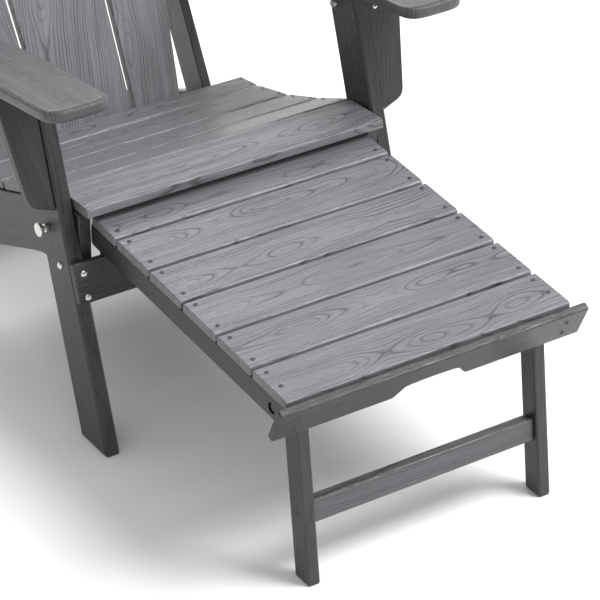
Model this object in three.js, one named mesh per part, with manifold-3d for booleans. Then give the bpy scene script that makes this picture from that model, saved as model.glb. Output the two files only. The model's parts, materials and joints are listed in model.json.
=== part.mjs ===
// A folding garden armchair with a pull-out footrest, in plastic-lumber boards.
// Millimetres, +Z up, +Y to the back of the chair, +X to the sitter's left.
// Side profiles are drawn in the Y-Z plane, with y = 0 at the front foot's front edge.
import * as THREE from "three";
import { mergeVertices } from "three/addons/utils/BufferGeometryUtils.js";
import Module from "manifold-3d";

const wasm = await Module();
wasm.setup();

// ---------- driving dimensions ----------
const GAP = 0.3; // between pieces that touch

// front legs and apron, in a frame that leans back with the leg
const LEG_LEAN = 17.5; // degrees
const LEG_DEPTH = 70;
const LEG_IN = 258; // inner face, from the middle plane
const LEG_OUT = 282;
const LEG_TOP = { radius: 31, gap: 1.5, corner: 6 }; // it turns under the arm about its pivot
const APRON = { bottom: 237, top: 298, thick: 13.5, boltRows: [246, 281.5], boltX: 268 };
const FIN = { front: 5, thick: 16, bottom: 377, cornerX: 322, cornerUp: 391.5, topX: 345, top: 566 };

// seat frame
const STRINGER_IN = 238.5;
const STRINGER_OUT = 257.7;
const STRINGER = { front: 98, frontBottom: 240, kneeY: 205, slope: 0.4, rearY: 885, rearTop: 70 };
const SEAT_LINE = [[78, 370.5], [169, 365], [252.5, 330], [339.5, 298], [427.5, 276], [483, 268]];
const SEAT_HALF = 254;
const SEAT_THICK = 16;
const SEAT_SPACING = 4; // open slot between two slats
const SPREADER = { y: 700, thick: 18, bottom: 62, height: 62 };

// pivots in the side view: the four make a parallelogram
const LEG_PIVOT = [114, 270]; // leg on stringer
const ARM_PIVOT = [218, 503]; // arm on leg
const BACK_PIVOT = [544, 190]; // back on stringer
const LOCK_PIN = [150, 316];
const FOLD_TRAVEL = 35; // degrees that the front legs fold

// back, in a frame on the slats' front face
const BACK_LEAN = 28; // degrees
const BACK_ORIGIN = [520, 244];
const BACK_THICK = 16;
const BACK_BOTTOM = -40;
const BACK_TOP = 748;
const BACK_TOP_RADIUS = 355; // the crown over all slats
const CENTRE_SLAT = { half: 74, spread: 0.0287 };
const SIDE_SLAT = { inner: 81, innerSpread: 0.031, outer: 163, outerSpread: 0.124 };
const STILE = { inner: 215, outer: 231, depth: 62, top: 560 };
const BACK_RAILS = { lower: [-62, 46], middle: [300, 60], upper: [505, 60] }; // bottom and height
const BACK_RAIL_THICK = 22;

// arms, in a frame that slopes down to the back on the arm's underside
const ARM_SLOPE = 7; // degrees
const ARM_ORIGIN = [45, 557];
const ARM_THICK = 20;
const ARM = { inner: 246, rearInner: 262, outer: 350, rearOuter: 324, front: -46, rear: 668, corner: 26 };
const ARM_BLOCK = { inner: 288, outer: 333, radius: 28, hole: 34 };
const ARM_BRACKET = { inner: 263, outer: 285, radius: 27, hole: 27 };

// footrest, in a frame that slopes down to the front on the rails' lower line
const FOOT_SLOPE = 4.1; // degrees
const FOOT_ORIGIN = [83, 291]; // where the rails ride over the apron
const FOOT_HALF = 235;
const FOOT_SLAT = { count: 6, pitch: 90, width: 84, thick: 14.7, frontLast: -493.8, rearFirst: 21 };
const FOOT_RAIL = { inner: 211.5, outer: 233.5, height: 35.3, rear: 27 };
const FOOT_BAR = { rear: 18, thick: 20, bottom: 6 };
const GLIDE = { inner: 213, outer: 232, radius: 4 };
const BOARD = { half: 254.6, height: 58, thick: 12.5, tilt: 24.7, top: [-420.9, 304.8] };
const NOTCH = { half: 63, depth: 22, shoulder: 22, sag: 4 };
const FOOT_PIVOT = [-374.2, 275.3];
const FOOT_LEG = { inner: 187, outer: 207, depth: 34.3, footY: -407.7 };
const STRETCHER = { z: 105, height: 36, thick: 19 };

// fasteners
const BOLT_R = 4;
const HOLE_R = 4.5;
const PIN_R = 4;
const APRON_BOLT_LENGTH = 44;
const PAST = 5; // how far a cutter runs past a face
const ROUND_SIDES = 16;
const MERGE_CELL = 0.000137; // an odd size, so that round numbers don't fall on a cell's edge

// ---------- materials ----------
const paint = (color, roughness, metalness) =>
  new THREE.MeshStandardMaterial({ color, roughness, metalness });
const boardTop = () => paint(0x7f8186, 0.55, 0);
const boardSide = () => paint(0x5a5c60, 0.6, 0);
const steel = () => paint(0xc9cac6, 0.3, 0.9);
const nylon = () => paint(0x2c2d2f, 0.5, 0);

// ---------- frames and placing ----------
const rad = THREE.MathUtils.degToRad;
const side = (y, z) => new THREE.Vector3(0, y, z);

// A frame has an origin and two directions in the Y-Z plane: along and up.
function sideFrame(origin, alongY, alongZ) {
  return { origin: side(...origin), along: side(alongY, alongZ), up: side(-alongZ, alongY) };
}

const pointIn = (frame, a, h) =>
  frame.origin.clone().addScaledVector(frame.along, a).addScaledVector(frame.up, h);

function inFrame(frame, [y, z]) {
  const d = side(y, z).sub(frame.origin);
  return [d.dot(frame.along), d.dot(frame.up)];
}

const sin = (deg) => Math.sin(rad(deg));
const cos = (deg) => Math.cos(rad(deg));
const SIDE = sideFrame([0, 0], 1, 0);
const LEG = sideFrame([0, 0], cos(LEG_LEAN), -sin(LEG_LEAN));
const BACK = sideFrame(BACK_ORIGIN, cos(BACK_LEAN), -sin(BACK_LEAN));
const ARM_FRAME = sideFrame(ARM_ORIGIN, cos(ARM_SLOPE), -sin(ARM_SLOPE));
const FOOT = sideFrame(FOOT_ORIGIN, cos(FOOT_SLOPE), sin(FOOT_SLOPE));
const BOARD_FRAME = sideFrame(BOARD.top, -cos(BOARD.tilt), -sin(BOARD.tilt));
const REAR_PIVOT = [
  BACK_PIVOT[0] + ARM_PIVOT[0] - LEG_PIVOT[0],
  BACK_PIVOT[1] + ARM_PIVOT[1] - LEG_PIVOT[1],
];

// ---------- geometry ----------
function outline(points, radius) {
  const shape = new THREE.Shape();
  const count = points.length;
  points.forEach((point, i) => {
    const here = new THREE.Vector2(...point);
    const before = new THREE.Vector2(...points[(i + count - 1) % count]);
    const after = new THREE.Vector2(...points[(i + 1) % count]);
    const r = Array.isArray(radius) ? radius[i] : radius;
    const reachIn = Math.min(r, here.distanceTo(before) / 2.1);
    const reachOut = Math.min(r, here.distanceTo(after) / 2.1);
    const start = here.clone().addScaledVector(before.sub(here).normalize(), reachIn);
    const end = here.clone().addScaledVector(after.sub(here).normalize(), reachOut);
    if (i === 0) shape.moveTo(start.x, start.y);
    else shape.lineTo(start.x, start.y);
    if (r > 0) shape.quadraticCurveTo(here.x, here.y, end.x, end.y);
  });
  shape.closePath();
  return shape;
}

// Extrudes a shape by depth, with a bevel that stays inside the outline.
function extrude(shape, depth, bevel, curveSegments = 3) {
  return new THREE.ExtrudeGeometry(shape, {
    depth: depth - 2 * bevel,
    bevelEnabled: bevel > 0,
    bevelSize: bevel,
    bevelOffset: -bevel,
    bevelThickness: bevel,
    bevelSegments: 1,
    curveSegments,
  }).translate(0, 0, bevel);
}

function orient(geometry, origin, xAxis, yAxis) {
  const zAxis = xAxis.clone().cross(yAxis);
  const matrix = new THREE.Matrix4().makeBasis(xAxis, yAxis, zAxis).setPosition(origin);
  return geometry.applyMatrix4(matrix);
}

// A piece drawn in a frame's side view and extruded across the chair, from x = from to x = to.
function across(frame, shape, from, to, bevel, curveSegments) {
  const geometry = extrude(shape, to - from, bevel, curveSegments);
  const origin = frame.origin.clone().setX(from);
  return orient(geometry, origin, frame.along, frame.up);
}

const X_AXIS = new THREE.Vector3(1, 0, 0);

// A piece drawn in a plane of x and one direction, and extruded along x cross that direction.
const facing = (origin, direction, shape, depth, bevel, curveSegments) =>
  orient(extrude(shape, depth, bevel, curveSegments), origin, X_AXIS, direction);

// A turned piece about an axis along X: the profile is a list of [radius, x].
function turned([y, z], profile) {
  const points = profile.map(([r, x]) => new THREE.Vector2(r, x));
  const geometry = new THREE.LatheGeometry(points, ROUND_SIDES);
  return orient(geometry, side(y, z), new THREE.Vector3(0, 0, 1), X_AXIS);
}

const round = ([y, z], radius, from, to) => {
  const geometry = new THREE.CylinderGeometry(radius, radius, to - from, ROUND_SIDES).rotateZ(Math.PI / 2);
  return geometry.translate((from + to) / 2, y, z);
};

function solid(geometry) {
  const bare = geometry.clone();
  bare.deleteAttribute("normal");
  bare.deleteAttribute("uv");
  const merged = mergeVertices(bare, MERGE_CELL);
  return new wasm.Manifold(new wasm.Mesh({
    numProp: 3,
    vertProperties: new Float32Array(merged.attributes.position.array),
    triVerts: new Uint32Array(merged.index.array),
  }));
}

function drilled(geometry, cutters) {
  const result = cutters.reduce((body, cutter) => body.subtract(solid(cutter)), solid(geometry));
  const mesh = result.getMesh();
  const cut = new THREE.BufferGeometry();
  cut.setAttribute("position", new THREE.BufferAttribute(new Float32Array(mesh.vertProperties), 3));
  cut.setIndex(new THREE.BufferAttribute(new Uint32Array(mesh.triVerts), 1));
  return cut;
}

const mirrored = (geometry) => {
  const copy = geometry.clone().applyMatrix4(new THREE.Matrix4().makeScale(-1, 1, 1));
  const flat = copy.index ? copy : mergeVertices(copy);
  const index = flat.index.array;
  for (let i = 0; i < index.length; i += 3) [index[i + 1], index[i + 2]] = [index[i + 2], index[i + 1]];
  return flat;
};

// ---------- the assembly ----------
const chair = new THREE.Group();

function add(name, geometry, material) {
  const mesh = new THREE.Mesh(geometry, material);
  mesh.name = name;
  chair.add(mesh);
}

// The right-hand piece is made for x > 0, and its mirror image is the left-hand one.
function addPair(name, geometry, material) {
  add(`${name}_right`, geometry, material());
  add(`${name}_left`, mirrored(geometry), material());
}

// ---------- seat frame ----------
function seatUnderside(drop) {
  const normals = SEAT_LINE.slice(1).map(([y, z], i) => {
    const [y0, z0] = SEAT_LINE[i];
    return new THREE.Vector2(z - z0, y0 - y).normalize();
  });
  return SEAT_LINE.map(([y, z], i) => {
    const before = normals[Math.max(i - 1, 0)];
    const after = normals[Math.min(i, normals.length - 1)];
    const normal = before.clone().add(after).normalize();
    return [y + normal.x * drop, z + normal.y * drop];
  });
}

const onBottomEdge = (z) => STRINGER.kneeY + (STRINGER.frontBottom - z) / STRINGER.slope;

function makeStringer() {
  const top = seatUnderside(SEAT_THICK + GAP + 0.4).slice(1);
  const frontTop = SEAT_LINE[0][1] - SEAT_THICK - 2;
  const points = [
    [STRINGER.front, STRINGER.frontBottom],
    [STRINGER.kneeY, STRINGER.frontBottom],
    [onBottomEdge(0), 0],
    [STRINGER.rearY, 0],
    [STRINGER.rearY, STRINGER.rearTop],
    [BACK_PIVOT[0] + 16, BACK_PIVOT[1] + 22],
    ...top.reverse(),
    [STRINGER.front, frontTop],
  ];
  const radii = points.map(() => 4);
  radii[0] = 22;
  radii[1] = 40;
  radii[4] = 26;
  radii[5] = 50;
  const body = across(SIDE, outline(points, radii), STRINGER_IN, STRINGER_OUT, 1.5);
  return drilled(body, [
    round(BACK_PIVOT, BOLT_R + 0.4, STRINGER_IN - PAST, STRINGER_OUT + PAST),
    round(LEG_PIVOT, BOLT_R, STRINGER_IN + 3, STRINGER_OUT + PAST),
    lockSlot(),
  ]);
}

// The lock pin rides with the leg, so its slot in the stringer is an arc about the leg's pivot.
function lockSlot() {
  const [y, z] = [LOCK_PIN[0] - LEG_PIVOT[0], LOCK_PIN[1] - LEG_PIVOT[1]];
  const reach = Math.hypot(y, z);
  const start = Math.atan2(z, y);
  const end = start + rad(FOLD_TRAVEL);
  const r = PIN_R + 0.5;
  const shape = new THREE.Shape();
  shape.absarc(0, 0, reach + r, start, end, false);
  shape.absarc(reach * Math.cos(end), reach * Math.sin(end), r, end, end + Math.PI, false);
  shape.absarc(0, 0, reach - r, end, start, true);
  const [startY, startZ] = [reach * Math.cos(start), reach * Math.sin(start)];
  shape.absarc(startY, startZ, r, start + Math.PI, start + 2 * Math.PI, false);
  const frame = sideFrame(LEG_PIVOT, 1, 0);
  return across(frame, shape, STRINGER_IN + 2, STRINGER_OUT + PAST, 0, 8);
}

const seatSlope = (i) => {
  const [[y0, z0], [y1, z1]] = [SEAT_LINE[i], SEAT_LINE[i + 1]];
  return Math.atan2(z0 - z1, y1 - y0);
};

// Where the seat bends down between two slats, their lower corners are mitred.
function seatMitre(i) {
  if (i < 0 || i >= SEAT_LINE.length - 2) return 0;
  return SEAT_THICK * Math.tan(Math.max(seatSlope(i + 1) - seatSlope(i), 0) / 2);
}

function seatSlat(i) {
  const [y0, z0] = SEAT_LINE[i];
  const [y1, z1] = SEAT_LINE[i + 1];
  const length = Math.hypot(y1 - y0, z1 - z0);
  const frame = sideFrame([y0, z0], (y1 - y0) / length, (z1 - z0) / length);
  const start = i === 0 ? 0 : SEAT_SPACING / 2;
  const end = length - (i === SEAT_LINE.length - 2 ? 0 : SEAT_SPACING / 2);
  const points = [
    [start + seatMitre(i - 1), -SEAT_THICK], [end - seatMitre(i), -SEAT_THICK], [end, 0], [start, 0],
  ];
  const radii = [3, 3, 5, i === 0 ? 10 : 7];
  return across(frame, outline(points, radii), -SEAT_HALF, SEAT_HALF, 1);
}

const rearSpreader = () => {
  const { y, thick, bottom, height } = SPREADER;
  const points = [[y, bottom], [y + thick, bottom], [y + thick, bottom + height], [y, bottom + height]];
  return across(SIDE, outline(points, 4), -STRINGER_IN + GAP, STRINGER_IN - GAP, 1);
};

addPair("stringer", makeStringer(), boardSide);
for (let i = 0; i < SEAT_LINE.length - 1; i += 1) add(`seat_slat_${i + 1}`, seatSlat(i), boardTop());
add("rear_spreader", rearSpreader(), boardSide());

// leg pivot bolt: from the leg's outer face into a blind hole in the stringer
addPair("leg_pivot_bolt", turned(LEG_PIVOT, [
  [0, STRINGER_IN + 3.6], [BOLT_R - GAP, STRINGER_IN + 3.6], [BOLT_R - GAP, LEG_OUT + GAP],
  [6, LEG_OUT + GAP], [5.6, LEG_OUT + 2.2], [3.4, LEG_OUT + 3.8], [0, LEG_OUT + 4.2],
]), steel);

// back pivot bolt: through the stringer into the stile, with a spacer collar between them
addPair("back_pivot_bolt", turned(BACK_PIVOT, [
  [0, STILE.inner + 3], [BOLT_R, STILE.inner + 3], [BOLT_R, STILE.outer + 0.5],
  [9, STILE.outer + 0.5], [9, STRINGER_IN - GAP], [BOLT_R, STRINGER_IN - GAP],
  [BOLT_R, STRINGER_OUT + GAP], [7.5, STRINGER_OUT + GAP], [6.5, STRINGER_OUT + 4], [0, STRINGER_OUT + 5],
]), steel);

// ---------- front frame ----------
function makeFrontLeg() {
  const [pivotN, pivotS] = inFrame(LEG, ARM_PIVOT);
  const underArm = (n) => {
    const ends = [pointIn(LEG, n, 0), pointIn(LEG, n, 1)].map((p) => inFrame(ARM_FRAME, [p.y, p.z])[1]);
    return (-LEG_TOP.gap - ends[0]) / (ends[1] - ends[0]);
  };
  const footDrop = Math.tan(rad(LEG_LEAN));
  const shape = new THREE.Shape();
  const behind = LEG_DEPTH - pivotN;
  const from = Math.atan2(Math.sqrt(LEG_TOP.radius ** 2 - behind ** 2), behind);
  shape.moveTo(0, 0);
  shape.lineTo(LEG_DEPTH, LEG_DEPTH * footDrop);
  shape.absarc(pivotN, pivotS, LEG_TOP.radius, from, rad(90 + LEG_LEAN - ARM_SLOPE), false);
  shape.lineTo(LEG_TOP.corner, underArm(LEG_TOP.corner) - 1);
  shape.lineTo(0, underArm(0) - LEG_TOP.corner - 1);
  shape.closePath();
  const body = across(LEG, shape, LEG_IN, LEG_OUT, 3);
  const bolts = APRON.boltRows.map((row) => apronBolt(row));
  return drilled(body, [
    round(LEG_PIVOT, HOLE_R, LEG_IN - PAST, LEG_OUT + PAST),
    round(ARM_PIVOT, HOLE_R, LEG_IN - PAST, LEG_OUT + PAST),
    round(LOCK_PIN, HOLE_R, LEG_IN - PAST, LEG_OUT + PAST),
    ...bolts,
  ]);
}

// A plain round bar at an apron bolt's place, from the apron's front face inwards.
function apronBolt(row) {
  const front = pointIn(LEG, -APRON.thick - GAP, row);
  const bar = new THREE.CylinderGeometry(BOLT_R, BOLT_R, APRON_BOLT_LENGTH, 12).rotateZ(-Math.PI / 2);
  bar.translate(APRON_BOLT_LENGTH / 2 - 1, 0, 0);
  return orient(bar, front.setX(APRON.boltX), LEG.along, LEG.up);
}

function apronBoltHead(row) {
  const profile = [[0, 40], [3.6, 40], [3.6, -GAP], [5, -GAP], [4.8, -1.6], [3, -2.9], [0, -3.3]];
  const points = profile.map(([r, a]) => new THREE.Vector2(r, a)).reverse();
  const bolt = new THREE.LatheGeometry(points, 16).rotateZ(-Math.PI / 2);
  const front = pointIn(LEG, -APRON.thick - GAP, row);
  return orient(bolt, front.setX(APRON.boltX), LEG.along, LEG.up);
}

function makeApron() {
  const height = APRON.top - APRON.bottom;
  const points = [[-LEG_OUT, 0], [LEG_OUT, 0], [LEG_OUT, height], [-LEG_OUT, height]];
  const origin = pointIn(LEG, -GAP, APRON.bottom);
  const body = facing(origin, LEG.up, outline(points, 4), APRON.thick, 1.5);
  const bolts = APRON.boltRows.map((row) => apronBolt(row));
  return drilled(body, [...bolts, ...bolts.map(mirrored)]);
}

function makeFin() {
  const inner = LEG_OUT + GAP;
  const points = [
    [inner, FIN.bottom], [FIN.cornerX, FIN.cornerUp], [FIN.topX, FIN.top], [inner, FIN.top],
  ];
  const origin = pointIn(LEG, FIN.front + FIN.thick, 0);
  return facing(origin, LEG.up, outline(points, [4, 12, 4, 4]), FIN.thick, 1.5);
}

addPair("front_leg", makeFrontLeg(), boardSide);
add("apron", makeApron(), boardSide());
addPair("arm_fin", makeFin(), boardSide);
APRON.boltRows.forEach((row, i) => {
  addPair(`apron_bolt_${i === 0 ? "lower" : "upper"}`, apronBoltHead(row), steel);
});

// ---------- arms ----------
function armShape() {
  const { inner, rearInner, outer, rearOuter, front, rear, corner } = ARM;
  const points = [
    [inner, front], [outer - 3, front], [outer + 2, 120], [outer, 260], [rearOuter, rear],
    [rearInner, rear], [rearInner, 310], [inner, 190],
  ];
  return outline(points, [corner + 6, corner + 8, 60, 60, 22, 22, 60, 60]);
}

function makeArm() {
  // drawn from above with y along the arm, then laid on the underside plane
  return facing(ARM_FRAME.origin.clone(), ARM_FRAME.along, armShape(), ARM_THICK, 4, 5);
}

// A block that hangs from the arm's underside around a pivot, with a hole of the given depth.
function makeArmBracket({ inner, outer, radius, hole }, pivot) {
  const [a, h] = inFrame(ARM_FRAME, pivot);
  const shape = new THREE.Shape();
  shape.moveTo(a + radius, -GAP);
  shape.lineTo(a - radius, -GAP);
  shape.absarc(a, h, radius, Math.PI, 2 * Math.PI, false);
  shape.closePath();
  const body = across(ARM_FRAME, shape, inner, outer, 1.5, 8);
  return drilled(body, [round(pivot, HOLE_R, inner - PAST, inner + hole)]);
}

addPair("arm", makeArm(), boardTop);
addPair("arm_block", makeArmBracket(ARM_BLOCK, ARM_PIVOT), boardSide);
addPair("arm_rear_bracket", makeArmBracket(ARM_BRACKET, REAR_PIVOT), boardSide);
addPair("arm_pivot_bolt", turned(ARM_PIVOT, [
  [0, LEG_IN - 4.6], [6, LEG_IN - 4], [7, LEG_IN - GAP], [BOLT_R, LEG_IN - GAP], [BOLT_R, LEG_OUT + GAP],
  [9, LEG_OUT + GAP], [9, ARM_BLOCK.inner - GAP], [BOLT_R, ARM_BLOCK.inner - GAP],
  [BOLT_R, ARM_BLOCK.inner + ARM_BLOCK.hole - 2], [0, ARM_BLOCK.inner + ARM_BLOCK.hole - 2],
]), steel);
addPair("arm_back_bolt", turned(REAR_PIVOT, [
  [0, STILE.inner + 6], [BOLT_R, STILE.inner + 6], [BOLT_R, STILE.outer + 0.6],
  [8, STILE.outer + 0.6], [8, ARM_BRACKET.inner - GAP], [BOLT_R, ARM_BRACKET.inner - GAP],
  [BOLT_R, ARM_BRACKET.outer + GAP], [7, ARM_BRACKET.outer + GAP], [6, ARM_BRACKET.outer + 4],
  [0, ARM_BRACKET.outer + 4.6],
]), steel);

// ---------- back ----------
// In the back's frame, a runs to the rear through the boards and h runs up along them.
const crown = (x) => BACK_TOP - BACK_TOP_RADIUS + Math.sqrt(BACK_TOP_RADIUS ** 2 - x ** 2);

function backSlat(leftBottom, leftSpread, rightBottom, rightSpread) {
  const edge = (bottom, spread, h) => bottom + spread * h;
  const left = edge(leftBottom, leftSpread, BACK_TOP - 60);
  const right = edge(rightBottom, rightSpread, BACK_TOP - 60);
  const steps = 6;
  const points = [
    [edge(leftBottom, leftSpread, BACK_BOTTOM), BACK_BOTTOM],
    [edge(rightBottom, rightSpread, BACK_BOTTOM), BACK_BOTTOM],
  ];
  for (let i = 0; i <= steps; i += 1) {
    const x = right + ((left - right) * i) / steps;
    points.push([x, crown(x)]);
  }
  const radii = points.map((_, i) => (i === 2 || i === points.length - 1 ? 10 : 4));
  const shape = outline(points, radii);
  return facing(pointIn(BACK, BACK_THICK, 0), BACK.up, shape, BACK_THICK, 1.5, 2);
}

function makeStile() {
  const near = BACK_THICK + GAP;
  const far = near + STILE.depth;
  const middle = (near + far) / 2;
  const bottom = inFrame(BACK, BACK_PIVOT)[1];
  const shape = new THREE.Shape();
  shape.moveTo(far, STILE.top - 30);
  shape.lineTo(near, STILE.top);
  shape.absarc(middle, bottom, STILE.depth / 2, Math.PI, 2 * Math.PI, false);
  shape.closePath();
  const body = across(BACK, shape, STILE.inner, STILE.outer, 1.5, 6);
  return drilled(body, [
    round(BACK_PIVOT, BOLT_R + 0.6, STILE.inner + 2, STILE.outer + PAST),
    round(REAR_PIVOT, BOLT_R + 1.2, STILE.inner + 5, STILE.outer + PAST),
  ]);
}

function backRail([bottom, height]) {
  const near = BACK_THICK + GAP;
  const far = near + BACK_RAIL_THICK;
  const points = [[near, bottom], [far, bottom], [far, bottom + height], [near, bottom + height]];
  return across(BACK, outline(points, 3), -STILE.inner + GAP, STILE.inner - GAP, 1);
}

add("back_slat_centre", backSlat(-CENTRE_SLAT.half, -CENTRE_SLAT.spread, CENTRE_SLAT.half,
  CENTRE_SLAT.spread), boardTop());
addPair("back_slat", backSlat(SIDE_SLAT.inner, SIDE_SLAT.innerSpread, SIDE_SLAT.outer,
  SIDE_SLAT.outerSpread), boardTop);
addPair("back_stile", makeStile(), boardSide);
["lower", "middle", "upper"].forEach((place) => {
  add(`back_rail_${place}`, backRail(BACK_RAILS[place]), boardSide());
});

// ---------- footrest ----------
function footSlat(i) {
  const { count, pitch, width, thick, frontLast, rearFirst } = FOOT_SLAT;
  const front = frontLast + (count - i) * pitch;
  const rear = i === 1 ? rearFirst : front + width;
  const bottom = GAP + FOOT_RAIL.height + GAP;
  const points = [[front, bottom], [rear, bottom], [rear, bottom + thick], [front, bottom + thick]];
  return across(FOOT, outline(points, [2, 2, 4, 6]), -FOOT_HALF, FOOT_HALF, 1);
}

// Where the front board's rear face stands, at a height in the footrest's frame.
function boardFace(h) {
  const [a0, h0] = inFrame(FOOT, BOARD.top);
  const lower = pointIn(BOARD_FRAME, 0, BOARD.height);
  const [a1, h1] = inFrame(FOOT, [lower.y, lower.z]);
  return a0 + ((a1 - a0) * (h - h0)) / (h1 - h0);
}

function makeFootRail() {
  const bottom = GAP;
  const top = GAP + FOOT_RAIL.height;
  const shape = outline([
    [boardFace(bottom) + 0.5, bottom], [FOOT_RAIL.rear, bottom], [FOOT_RAIL.rear, top],
    [boardFace(top) + 0.5, top],
  ], [4, 10, 4, 4]);
  const body = across(FOOT, shape, FOOT_RAIL.inner, FOOT_RAIL.outer, 1.5);
  return drilled(body, [
    round(FOOT_PIVOT, HOLE_R, FOOT_RAIL.inner - PAST, FOOT_RAIL.outer + PAST),
    round(FOOT_PIVOT, 8.5, FOOT_RAIL.outer - 6, FOOT_RAIL.outer + PAST),
  ]);
}

// The hand notch is a shallow arch with a short reverse curve at each end.
function notchDepth(x) {
  const { half, depth, shoulder, sag } = NOTCH;
  const t = Math.min((half - Math.abs(x)) / shoulder, 1);
  return (depth - sag * (x / half) ** 2) * t * t * (3 - 2 * t);
}

function makeFrontBoard() {
  const { half, height, thick } = BOARD;
  const shape = new THREE.Shape();
  const steps = 16;
  shape.moveTo(-half, 2);
  shape.lineTo(-half + 2, 0);
  shape.lineTo(half - 2, 0);
  shape.lineTo(half, 2);
  shape.lineTo(half, height);
  for (let i = 0; i <= steps; i += 1) {
    const x = NOTCH.half * Math.cos((Math.PI * i) / steps);
    shape.lineTo(x, height - notchDepth(x));
  }
  shape.lineTo(-half, height);
  shape.closePath();
  return facing(pointIn(BOARD_FRAME, thick, 0), BOARD_FRAME.up, shape, thick, 1.5);
}

function makeFootBar() {
  const { rear, thick, bottom } = FOOT_BAR;
  const top = GAP + FOOT_RAIL.height;
  const points = [[rear - thick, bottom], [rear, bottom], [rear, top], [rear - thick, top]];
  return across(FOOT, outline(points, 2), -FOOT_RAIL.inner + GAP, FOOT_RAIL.inner - GAP, 1);
}

// half-round rocker between the apron's top edge and the rail
function makeGlide() {
  const shape = new THREE.Shape();
  shape.moveTo(GLIDE.radius, 0);
  shape.lineTo(-GLIDE.radius, 0);
  shape.absarc(0, 0, GLIDE.radius, Math.PI, 2 * Math.PI, false);
  return across(FOOT, shape, GLIDE.inner, GLIDE.outer, 0, 6);
}

for (let i = 1; i <= FOOT_SLAT.count; i += 1) add(`footrest_slat_${i}`, footSlat(i), boardTop());
addPair("footrest_rail", makeFootRail(), boardSide);
add("footrest_front_board", makeFrontBoard(), boardSide());
add("footrest_rear_bar", makeFootBar(), boardSide());
addPair("rail_glide", makeGlide(), nylon);

// footrest leg pivot bolt: head sunk in the rail's counterbore, shank in the leg
addPair("footrest_leg_bolt", turned(FOOT_PIVOT, [
  [0, FOOT_LEG.inner + 3], [BOLT_R, FOOT_LEG.inner + 3], [BOLT_R, FOOT_LEG.outer + GAP],
  [8, FOOT_LEG.outer + GAP], [8, FOOT_RAIL.inner - GAP], [BOLT_R, FOOT_RAIL.inner - GAP],
  [BOLT_R, FOOT_RAIL.outer - 6 + GAP], [6.5, FOOT_RAIL.outer - 6 + GAP], [6, FOOT_RAIL.outer - 2.5],
  [0, FOOT_RAIL.outer - 2],
]), steel);

// ---------- footrest legs ----------
const FOOT_LEG_FRAME = (() => {
  const y = FOOT_LEG.footY - FOOT_PIVOT[0];
  const length = Math.hypot(y, FOOT_PIVOT[1]);
  return sideFrame(FOOT_PIVOT, FOOT_PIVOT[1] / length, y / length);
})();

function makeFootLeg() {
  const { depth, inner, outer } = FOOT_LEG;
  const { along, up } = FOOT_LEG_FRAME;
  const toFloor = (a) => -(FOOT_PIVOT[1] + a * along.z) / up.z;
  const shape = new THREE.Shape();
  shape.moveTo(-depth / 2, toFloor(-depth / 2));
  shape.lineTo(depth / 2, toFloor(depth / 2));
  shape.absarc(0, 0, depth / 2, 0, Math.PI, false);
  shape.closePath();
  const body = across(FOOT_LEG_FRAME, shape, inner, outer, 2, 6);
  return drilled(body, [round(FOOT_PIVOT, HOLE_R, inner + 2, outer + PAST)]);
}

function makeStretcher() {
  const { z, height, thick } = STRETCHER;
  const h = (z - FOOT_PIVOT[1]) / FOOT_LEG_FRAME.up.z;
  const points = [
    [-thick / 2, h - height / 2], [thick / 2, h - height / 2], [thick / 2, h + height / 2],
    [-thick / 2, h + height / 2],
  ];
  return across(FOOT_LEG_FRAME, outline(points, 3), -FOOT_LEG.inner + GAP, FOOT_LEG.inner - GAP, 1);
}

addPair("footrest_leg", makeFootLeg(), boardSide);
add("footrest_stretcher", makeStretcher(), boardSide());

// ---------- lock pins ----------
addPair("lock_pin", turned(LOCK_PIN, [
  [0, STRINGER_IN + 3], [PIN_R - 1.5, STRINGER_IN + 3], [PIN_R, STRINGER_IN + 6], [PIN_R, LEG_OUT + GAP],
  [6.5, LEG_OUT + GAP], [6.5, LEG_OUT + 4], [PIN_R, LEG_OUT + 4], [PIN_R, LEG_OUT + 11],
  [10, LEG_OUT + 11], [10.8, LEG_OUT + 12], [10.8, LEG_OUT + 14.5], [10, LEG_OUT + 15.5],
  [0, LEG_OUT + 15.5],
]), steel);

// ---------- origin: the middle of the footprint, on the ground ----------
const box = new THREE.Box3().setFromObject(chair);
const middle = box.getCenter(new THREE.Vector3());
chair.position.set(0, -middle.y, -box.min.z);

export default chair;
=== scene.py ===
"""The look of a folding garden chair with a pull-out footrest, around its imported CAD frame."""
import json
import math

import bmesh
import bpy
import numpy as np
from mathutils import Matrix, Vector
from mathutils.bvhtree import BVHTree


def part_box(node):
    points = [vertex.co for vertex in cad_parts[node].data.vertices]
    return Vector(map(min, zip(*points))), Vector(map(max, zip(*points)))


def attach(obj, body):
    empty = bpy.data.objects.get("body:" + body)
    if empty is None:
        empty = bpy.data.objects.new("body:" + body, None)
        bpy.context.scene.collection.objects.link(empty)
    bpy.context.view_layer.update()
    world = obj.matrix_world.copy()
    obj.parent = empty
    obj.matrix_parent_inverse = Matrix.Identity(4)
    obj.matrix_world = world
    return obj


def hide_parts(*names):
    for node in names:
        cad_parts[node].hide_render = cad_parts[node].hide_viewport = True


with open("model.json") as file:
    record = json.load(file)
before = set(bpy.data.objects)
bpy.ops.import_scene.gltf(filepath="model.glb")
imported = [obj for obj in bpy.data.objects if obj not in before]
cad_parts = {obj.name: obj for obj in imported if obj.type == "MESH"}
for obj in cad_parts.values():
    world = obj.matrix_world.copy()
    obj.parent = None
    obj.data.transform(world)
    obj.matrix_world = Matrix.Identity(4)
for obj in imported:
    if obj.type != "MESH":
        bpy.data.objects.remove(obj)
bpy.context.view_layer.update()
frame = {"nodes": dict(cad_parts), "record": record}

SLOT_OF = {s["node"]: s["material_slot"] for s in frame["record"]["subparts"]}
BODY_OF = {n: b for b, nodes in frame["record"]["behaviour"]["bodies"].items() for n in nodes}

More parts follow.
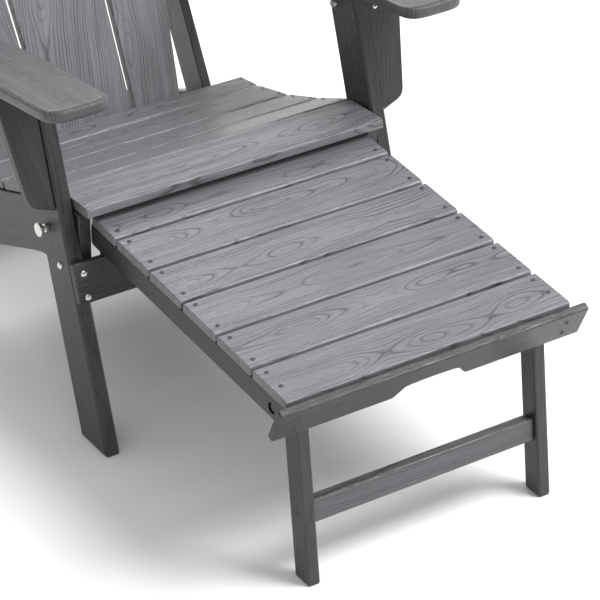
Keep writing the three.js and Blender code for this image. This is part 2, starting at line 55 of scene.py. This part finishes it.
# ---------- dimensions, in metres ----------
# screw head radii
SCREW_HEAD, SEAT_HEAD, STRETCHER_HEAD, FIN_HEAD = 0.0036, 0.0024, 0.0048, 0.004
SCREW_DEPTH, SCREW_STAND, SCREW_RECESS = 0.004, 0.0002, 0.0012
# rings of a screw's domed head: share of the radius, and height above SCREW_STAND
SCREW_DOME = ((1.0, 0.0), (0.86, 0.0005), (0.45, 0.0007))
RECESS_ARM, RECESS_WAIST = 0.42, 0.16
SCREW_SIDES = 16
# distances of screws from the chair's middle
SLAT_SCREW_X, SEAT_SCREW_X, BOARD_SCREW_X, FIN_SCREW_X, LEG_SCREW_X = 0.2215, 0.248, 0.222, 0.2965, 0.4
BACK_SCREW_X = {"centre": 0.035, "side": 0.125}
# places of screws as shares of a board: seat slats from the front, and the front board from its top
SEAT_SHARES, BOARD_SHARES = (0.22, 0.78), (0.40, 0.78)
# shares of a fin's height, and the line they follow across its depth as the leg leans
FIN_SHARES, FIN_START, FIN_LEAN = (0.24, 0.62), 0.05, 0.81
# distances of a footrest slat's screws from its front edge
SLAT_SCREW_BACK, LAST_SCREW_BACK = (0.014, 0.072), (0.034, 0.069)
FIN_TOP_DROP = 0.028
CLEAR, BACK_CLEAR = 0.1, 0.3  # how far outside a board a ray starts
ABOVE_FOOTREST, ABOVE_SEAT = 1.0, 0.42
EDGE_ROUND = {"slat_lumber": 0.0022, "arm_lumber": 0.0045, "frame_lumber": 0.0024}
DISSOLVE, BEVEL_FROM, SMOOTH = math.radians(1.5), math.radians(30), math.radians(38)
WELD = 0.00002
FLOOR_HALF, FLOOR_DROP = 30, 0.0005

# ---------- materials ----------
# The chair is one plastic. Its boards have different greys, so some of the shading is painted in: the arms
# and the frame are darker as painted shade.
GREYS_WITH_PAINTED_SHADING = {
    "slat_lumber": (0.152, 0.154, 0.164, 1),
    "arm_lumber": (0.068, 0.070, 0.075, 1),
    "frame_lumber": (0.026, 0.027, 0.030, 1),
    "painted_light_frame": (0.082, 0.084, 0.090, 1),
}
PAINTED_LIGHT_BOARDS = ("footrest_stretcher",)  # a frame board in a lighter grey than the others, as painted light
# how far the rings' axis strays across and through a board, how it leans along it, and the rings' waviness
WANDER, SWELL, TAPER, RIPPLE = 0.024, 0.050, 0.030, 0.0016
# the rings' axis, across from a board's middle and under it, then ring gap and ring darkness
GRAIN = {
    "slat_lumber": (0.0, 0.007, 0.0046, 0.80),
    "arm_lumber": (0.13, 0.02, 0.0042, 0.66),
    "frame_lumber": (0.11, 0.02, 0.0046, 0.62),
}
# noise per metre along, across and through a board
STREAK_NOISE, WIDE_NOISE, PATCH_NOISE = (9, 700, 700), (2.5, 70, 70), (5, 14, 14)
SWELL_NOISE, WANDER_NOISE, RIPPLE_NOISE = (7.5, 5, 5), (5.5, 3, 3), (30, 130, 130)
SEED_STEPS = (7.31, 3.77, 2.19)
YEAR_NOISE, YEAR_SEED = 95.0, 1.7
# greys across one ring, from its dark edge, and from faint years to strong ones
RING = ((0.0, 0.10), (0.10, 1), (0.24, 0.28), (0.52, 0), (1.0, 0.10))
YEARS = ((0.36, 0.22), (0.60, 1))
FINE = ((0.38, 0), (0.62, 1))
FINE_SHARE, WIDE_SHARE, PATCH_SHARE, TONE_BASE = 0.34, 0.30, 0.30, 0.18
SHADES = ((0.0, 0.38), (0.58, 1), (1.0, 1.55))  # tone, and what it multiplies the colour by
ROUGH_VARY, ROUGH_BASE, BUMP_FINE = 0.12, 0.23, 0.45
BOARD_TURN, BOARD_STEP = 2.4, 0.011  # moves each board's rings across, so that no two match


class Nodes:
    """A material's node tree, with short calls for adding and joining nodes."""

    def __init__(self, name):
        self.material = bpy.data.materials.new(name)
        self.material.use_nodes = True
        self.tree = self.material.node_tree
        self.shader = self.tree.nodes["Principled BSDF"]

    def add(self, kind, **values):
        node = self.tree.nodes.new(kind)
        for key, value in values.items():
            if key in node.inputs:
                node.inputs[key].default_value = value
            else:
                setattr(node, key, value)
        return node

    def link(self, start, end):
        self.tree.links.new(start, end)

    def math(self, operation, a, b=0.0):
        node = self.add("ShaderNodeMath", operation=operation)
        for socket, value in zip(node.inputs, (a, b)):
            if isinstance(value, (int, float)):
                socket.default_value = value
            else:
                self.link(value, socket)
        return node.outputs[0]

    def ramp(self, value, stops):
        node = self.add("ShaderNodeValToRGB")
        elements = node.color_ramp.elements
        while len(elements) < len(stops):
            elements.new(0.5)
        for element, (place, colour) in zip(elements, stops):
            element.position = place
            element.color = colour
        self.link(value, node.inputs[0])
        return node.outputs[0]


def tint(colour, factor):
    """The colour times a factor, still opaque."""
    return tuple(c * factor for c in colour[:3]) + (1,)


def greys(stops):
    """Ramp stops from (place, grey) pairs."""
    return [(place, (value, value, value, 1)) for place, value in stops]


def scaled(nodes, vector, scale, shift=(0, 0, 0), turn=(0, 0, 0)):
    """The vector scaled, then turned, then moved."""
    node = nodes.add("ShaderNodeMapping")
    node.inputs["Scale"].default_value = scale
    node.inputs["Rotation"].default_value = turn
    node.inputs["Location"].default_value = shift
    nodes.link(vector, node.inputs["Vector"])
    return node.outputs["Vector"]


def noise(nodes, vector, detail=2.0, roughness=0.5):
    node = nodes.add("ShaderNodeTexNoise", Scale=1.0, Detail=detail, Roughness=roughness)
    nodes.link(vector, node.inputs["Vector"])
    return node.outputs["Fac"]


def grey(nodes, colour):
    node = nodes.add("ShaderNodeRGBToBW")
    nodes.link(colour, node.inputs[0])
    return node.outputs[0]


def lumber(name, colour, seed, place, centre, depth, ring_gap, figure):
    """Embossed plastic lumber, in the axes of place: x along the board, y across it, z through it.

    The grain is that of a board sawn from a trunk: rings about an axis that wanders along the
    board, centre metres across from its middle and depth metres under it. A small centre gives
    arches, and a large one gives straight grain. figure is how dark the rings are.
    """
    nodes = Nodes(name)
    inverse = place.inverted()
    row = nodes.add("ShaderNodeTexCoord").outputs["Object"]
    space = scaled(nodes, row, (1, 1, 1), inverse.translation, inverse.to_euler())
    apart = tuple(seed * step for step in SEED_STEPS)
    streak = noise(nodes, scaled(nodes, space, STREAK_NOISE, apart), 4.0, 0.62)
    wide = noise(nodes, scaled(nodes, space, WIDE_NOISE, apart))
    patch = noise(nodes, scaled(nodes, space, PATCH_NOISE, apart))
    swell = noise(nodes, scaled(nodes, space, SWELL_NOISE, apart), 1.0)
    wander = noise(nodes, scaled(nodes, space, WANDER_NOISE, apart[::-1]), 1.0)
    ripple = noise(nodes, scaled(nodes, space, RIPPLE_NOISE, apart))

    parts = nodes.add("ShaderNodeSeparateXYZ")
    nodes.link(space, parts.inputs[0])
    along, over, through = parts.outputs
    off = nodes.math("MULTIPLY", nodes.math("SUBTRACT", wander, 0.5), WANDER)
    across = nodes.math("ADD", nodes.math("ADD", over, centre), off)
    rise = nodes.math("MULTIPLY", nodes.math("SUBTRACT", swell, 0.5), SWELL)
    under = nodes.math("ADD", nodes.math("MULTIPLY", along, TAPER), nodes.math("ADD", rise, depth))
    under = nodes.math("ADD", under, through)
    squares = nodes.math("ADD", nodes.math("MULTIPLY", across, across), nodes.math("MULTIPLY", under, under))
    radius = nodes.math("ADD", nodes.math("SQRT", squares), nodes.math("MULTIPLY", ripple, RIPPLE))
    phase = nodes.math("FRACT", nodes.math("DIVIDE", radius, ring_gap))
    spacing = nodes.add("ShaderNodeCombineXYZ")
    nodes.link(nodes.math("MULTIPLY", radius, YEAR_NOISE), spacing.inputs[0])
    spacing.inputs[1].default_value = seed * YEAR_SEED
    years = grey(nodes, nodes.ramp(noise(nodes, spacing.outputs[0], 0.0), greys(YEARS)))
    ring = grey(nodes, nodes.ramp(phase, greys(RING)))
    dark = nodes.math("MULTIPLY", nodes.math("MULTIPLY", ring, years), figure)
    fine = grey(nodes, nodes.ramp(streak, greys(FINE)))
    base = nodes.math("MULTIPLY", fine, FINE_SHARE)
    for part, share in ((wide, WIDE_SHARE), (patch, PATCH_SHARE)):
        base = nodes.math("ADD", base, nodes.math("MULTIPLY", part, share))
    tone = nodes.math("SUBTRACT", nodes.math("ADD", base, TONE_BASE), dark)
    shade = nodes.ramp(tone, [(place, tint(colour, factor)) for place, factor in SHADES])
    nodes.link(shade, nodes.shader.inputs["Base Color"])

    rough = nodes.math("ADD", nodes.math("MULTIPLY", wide, ROUGH_VARY), ROUGH_BASE)
    nodes.link(rough, nodes.shader.inputs["Roughness"])
    bump = nodes.add("ShaderNodeBump", Strength=0.7, Distance=0.0006)
    nodes.link(nodes.math("SUBTRACT", nodes.math("MULTIPLY", fine, BUMP_FINE), dark), bump.inputs["Height"])
    nodes.link(bump.outputs["Normal"], nodes.shader.inputs["Normal"])
    return nodes.material


def plated_steel():
    """Bright plated steel with a fine brushed grain."""
    nodes = Nodes("plated_steel")
    place = nodes.add("ShaderNodeTexCoord")
    brush = nodes.add("ShaderNodeTexNoise", Scale=900.0, Detail=3.0)
    nodes.link(scaled(nodes, place.outputs["Object"], (0.2, 1, 1)), brush.inputs["Vector"])
    shade = nodes.ramp(brush.outputs["Fac"], [(0.3, (0.55, 0.54, 0.50, 1)), (0.7, (0.86, 0.85, 0.82, 1))])
    nodes.link(shade, nodes.shader.inputs["Base Color"])
    rough = nodes.math("ADD", nodes.math("MULTIPLY", brush.outputs["Fac"], 0.2), 0.18)
    nodes.link(rough, nodes.shader.inputs["Roughness"])
    nodes.shader.inputs["Metallic"].default_value = 1.0
    bump = nodes.add("ShaderNodeBump", Strength=0.15, Distance=0.0001)
    nodes.link(brush.outputs["Fac"], bump.inputs["Height"])
    nodes.link(bump.outputs["Normal"], nodes.shader.inputs["Normal"])
    return nodes.material


def moulded(name, low, high, roughness):
    """Plain moulded plastic or blackened metal, with a slight mottle."""
    nodes = Nodes(name)
    place = nodes.add("ShaderNodeTexCoord")
    mottle = nodes.add("ShaderNodeTexNoise", Scale=260.0, Detail=4.0)
    nodes.link(place.outputs["Object"], mottle.inputs["Vector"])
    shade = nodes.ramp(mottle.outputs["Fac"], [(0.3, low), (0.7, high)])
    nodes.link(shade, nodes.shader.inputs["Base Color"])
    rough = nodes.math("ADD", nodes.math("MULTIPLY", mottle.outputs["Fac"], 0.15), roughness)
    nodes.link(rough, nodes.shader.inputs["Roughness"])
    bump = nodes.add("ShaderNodeBump", Strength=0.2, Distance=0.0002)
    nodes.link(mottle.outputs["Fac"], bump.inputs["Height"])
    nodes.link(bump.outputs["Normal"], nodes.shader.inputs["Normal"])
    return nodes.material


STEEL = plated_steel()
NYLON = moulded("glide_nylon", (0.020, 0.020, 0.022, 1), (0.04, 0.04, 0.044, 1), 0.4)
SCREW = moulded("painted_screw", (0.020, 0.021, 0.023, 1), (0.06, 0.061, 0.066, 1), 0.30)
GREY_SCREW = moulded("grey_screw", (0.070, 0.071, 0.076, 1), (0.12, 0.122, 0.13, 1), 0.35)
FINISHES = {"bolt_steel": STEEL, "glide_nylon": NYLON, "screw_black": SCREW}


# ---------- boards ----------
def board_frame(node):
    """The matrix of a board's own axes: x along it, y across it and z through it."""
    data = frame["nodes"][node].data
    areas = np.array([p.area for p in data.polygons])
    centres = np.array([p.center for p in data.polygons])
    middle = (centres * areas[:, None]).sum(0) / areas.sum()
    spread = np.cov((centres - middle).T, aweights=areas)
    _, axes = np.linalg.eigh(spread)
    along, over = Vector(axes[:, 2]), Vector(axes[:, 1])
    if along[max(range(3), key=lambda i: abs(along[i]))] < 0:
        along.negate()
    if over[max(range(3), key=lambda i: abs(over[i]))] < 0:
        over.negate()
    matrix = Matrix((along, over, along.cross(over))).transposed().to_4x4()
    matrix.translation = Vector(middle)
    return matrix


def lumber_for(node, index):
    """The lumber material of one board."""
    slot = SLOT_OF[node]
    drift = BOARD_STEP * math.sin(BOARD_TURN * index)
    centre, depth, ring_gap, figure = GRAIN[slot]
    # a board's grey, with painted shade or painted light in it: darker arms and frame, lighter stretcher
    colour = GREYS_WITH_PAINTED_SHADING["painted_light_frame" if node in PAINTED_LIGHT_BOARDS else slot]
    place = board_frame(node)
    return lumber(f"lumber_{node}", colour, index + 1, place, centre + drift, depth, ring_gap, figure)


def refined(node):
    """A copy of a CAD board with flat faces joined and its edges rounded."""
    source = frame["nodes"][node]
    mesh = bmesh.new()
    mesh.from_mesh(source.data)
    bmesh.ops.remove_doubles(mesh, verts=mesh.verts, dist=WELD)
    bmesh.ops.dissolve_limit(mesh, angle_limit=DISSOLVE, verts=mesh.verts, edges=mesh.edges)
    data = bpy.data.meshes.new(f"look_{node}")
    mesh.to_mesh(data)
    mesh.free()
    board = bpy.data.objects.new(f"look_{node}", data)
    bpy.context.scene.collection.objects.link(board)
    bevel = board.modifiers.new("round", "BEVEL")
    bevel.width = EDGE_ROUND[SLOT_OF[node]]
    bevel.segments = 3
    bevel.limit_method = "ANGLE"
    bevel.angle_limit = BEVEL_FROM
    bevel.use_clamp_overlap = True
    for polygon in data.polygons:
        polygon.use_smooth = True
    normals = board.modifiers.new("normals", "WEIGHTED_NORMAL")
    normals.keep_sharp = True
    data.set_sharp_from_angle(angle=SMOOTH)
    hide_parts(node)
    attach(board, BODY_OF[node])
    return board


boards = {}
for index, node in enumerate(sorted(SLOT_OF)):
    slot = SLOT_OF[node]
    if slot in EDGE_ROUND:
        boards[node] = refined(node)
        boards[node].data.materials.clear()
        boards[node].data.materials.append(lumber_for(node, index))
    else:
        cad = frame["nodes"][node]
        cad.data.materials.clear()
        cad.data.materials.append(FINISHES[slot])


# ---------- screws ----------
def screw(name, place, normal, body, radius, finish):
    """A pan-head screw in a board's face, with a cross recess."""
    mesh = bmesh.new()
    angles = [2 * math.pi * i / SCREW_SIDES for i in range(SCREW_SIDES)]
    rings = [([radius] * SCREW_SIDES, -SCREW_DEPTH)]
    rings += [([radius * share] * SCREW_SIDES, SCREW_STAND + rise) for share, rise in SCREW_DOME]
    # the dome's rim falls to the cross-shaped floor of the recess
    cross = [RECESS_ARM if abs(math.cos(2 * angle)) > 0.7 else RECESS_WAIST for angle in angles]
    rings.append(([radius * share for share in cross], SCREW_STAND - SCREW_RECESS))
    loops = [[mesh.verts.new((r * math.cos(angle), r * math.sin(angle), height))
              for r, angle in zip(radii, angles)] for radii, height in rings]
    mesh.faces.new(list(reversed(loops[0])))
    for lower, upper in zip(loops, loops[1:]):
        for i in range(SCREW_SIDES):
            j = (i + 1) % SCREW_SIDES
            mesh.faces.new((lower[i], lower[j], upper[j], upper[i]))
    mesh.faces.new(loops[-1])
    bmesh.ops.recalc_face_normals(mesh, faces=mesh.faces)
    data = bpy.data.meshes.new(name)
    mesh.to_mesh(data)
    mesh.free()
    for polygon in data.polygons:
        polygon.use_smooth = True
    data.set_sharp_from_angle(angle=SMOOTH)
    data.materials.append(finish)
    item = bpy.data.objects.new(name, data)
    bpy.context.scene.collection.objects.link(item)
    turn = Vector((0, 0, 1)).rotation_difference(Vector(normal)).to_matrix().to_4x4()
    item.matrix_world = Matrix.Translation(place) @ turn
    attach(item, body)


def on_face(node, start, direction):
    """Where a ray meets a board: (point, outward normal)."""
    data = frame["nodes"][node].data
    tree = BVHTree.FromPolygons([v.co for v in data.vertices], [p.vertices for p in data.polygons])
    place, normal, _, _ = tree.ray_cast(Vector(start), Vector(direction))
    return place, normal


def screw_at(name, node, start, direction, radius=SCREW_HEAD, finish=SCREW):
    """A screw where a ray from start meets a board."""
    place, normal = on_face(node, start, direction)
    screw(name, place, normal, BODY_OF[node], radius, finish)


DOWN = (0, 0, -1)
BACKWARD = (0, 1, 0)
FORWARD = (0, -1, 0)
SIDES = {"right": 1, "left": -1}

for side, sign in SIDES.items():
    for node in sorted(n for n in boards if n.startswith("footrest_slat_")):
        low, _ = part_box(node)
        backs = LAST_SCREW_BACK if node.endswith("_6") else SLAT_SCREW_BACK
        # the first slat has only its front pair of screws
        for i, back in enumerate(backs[:1] if node.endswith("_1") else backs):
            start = (sign * SLAT_SCREW_X, low.y + back, ABOVE_FOOTREST)
            screw_at(f"screw_{node}_{side}_{i}", node, start, DOWN)
    for node in sorted(n for n in boards if n.startswith("seat_slat_")):
        low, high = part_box(node)
        for i, share in enumerate(SEAT_SHARES):
            y = low.y + share * (high.y - low.y)
            start = (sign * SEAT_SCREW_X, y, ABOVE_SEAT)
            screw_at(f"screw_{node}_{side}_{i}", node, start, DOWN, SEAT_HEAD, GREY_SCREW)
    low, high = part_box("footrest_front_board")
    for i, share in enumerate(BOARD_SHARES):
        z = high.z - share * (high.z - low.z)
        start = (sign * BOARD_SCREW_X, low.y - CLEAR, z)
        screw_at(f"screw_front_board_{side}_{i}", "footrest_front_board", start, BACKWARD)
    low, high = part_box("footrest_stretcher")
    middle = (low + high) / 2
    leg = f"footrest_leg_{side}"
    start = (sign * LEG_SCREW_X, middle.y, middle.z)
    screw_at(f"screw_stretcher_{side}", leg, start, (-sign, 0, 0), STRETCHER_HEAD)
    fin_low, fin_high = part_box(f"arm_fin_{side}")
    leg_node = f"front_leg_{side}"
    for i, share in enumerate(FIN_SHARES):
        z = fin_low.z + share * (fin_high.z - fin_low.z)
        y = fin_low.y + (FIN_START + FIN_LEAN * share) * (fin_high.y - fin_low.y)
        screw_at(f"screw_fin_{side}_{i}", leg_node, (0, y, z), (sign, 0, 0))
    top = (sign * FIN_SCREW_X, fin_low.y - CLEAR, fin_high.z - FIN_TOP_DROP)
    screw_at(f"screw_fin_{side}_top", f"arm_fin_{side}", top, BACKWARD, FIN_HEAD, STEEL)
    for rail in ("lower", "middle", "upper"):
        low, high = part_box(f"back_rail_{rail}")
        middle = (low + high) / 2
        for slat, x in (("centre", BACK_SCREW_X["centre"]), (side, BACK_SCREW_X["side"])):
            start = (sign * x, middle.y + BACK_CLEAR, middle.z)
            screw_at(f"screw_{rail}_back_slat_{slat}_{side}", f"back_rail_{rail}", start, FORWARD)

# ---------- stage ----------
floor_mesh = bpy.data.meshes.new("floor")
corners = [(x * FLOOR_HALF, y * FLOOR_HALF, 0) for x, y in ((-1, -1), (1, -1), (1, 1), (-1, 1))]
floor_mesh.from_pydata(corners, [], [(0, 1, 2, 3)])
floor = bpy.data.objects.new("floor", floor_mesh)
bpy.context.scene.collection.objects.link(floor)
floor.location.z = -FLOOR_DROP
paper = Nodes("pale_floor")
paper.shader.inputs["Base Color"].default_value = (0.90, 0.90, 0.90, 1)
paper.shader.inputs["Roughness"].default_value = 0.9
floor_mesh.materials.append(paper.material)


def soft_light(name, place, target, size, power):
    lamp = bpy.data.lights.new(name, "AREA")
    lamp.shape = "DISK"
    lamp.size = size
    lamp.energy = power
    item = bpy.data.objects.new(name, lamp)
    bpy.context.scene.collection.objects.link(item)
    item.location = place
    item.rotation_euler = (Vector(target) - Vector(place)).to_track_quat("-Z", "Y").to_euler()


soft_light("key", (2.3, -2.3, 4.2), (0, -0.2, 0.3), 2.6, 260)
soft_light("rim", (0.8, 3.0, 3.2), (0, 0, 0.3), 2.0, 70)

world = bpy.data.worlds.new("studio")
world.use_nodes = True
world.node_tree.nodes["Background"].inputs["Color"].default_value = (1, 1, 1, 1)
world.node_tree.nodes["Background"].inputs["Strength"].default_value = 0.70
bpy.context.scene.world = world

# ---------- camera ----------
CAMERA_AT = Vector((-2.0901, -3.5298, 2.5439))
CAMERA_TO = Vector((-0.0425, -0.3767, 0.267))
camera_data = bpy.data.cameras.new("camera")
camera_data.lens = 186.4
camera_data.sensor_width = 36.0
camera_data.clip_end = 100
camera = bpy.data.objects.new("camera", camera_data)
bpy.context.scene.collection.objects.link(camera)
camera.location = CAMERA_AT
camera.rotation_euler = (CAMERA_TO - CAMERA_AT).to_track_quat("-Z", "Y").to_euler()
bpy.context.scene.camera = camera
bpy.context.scene.view_settings.view_transform = "Standard"
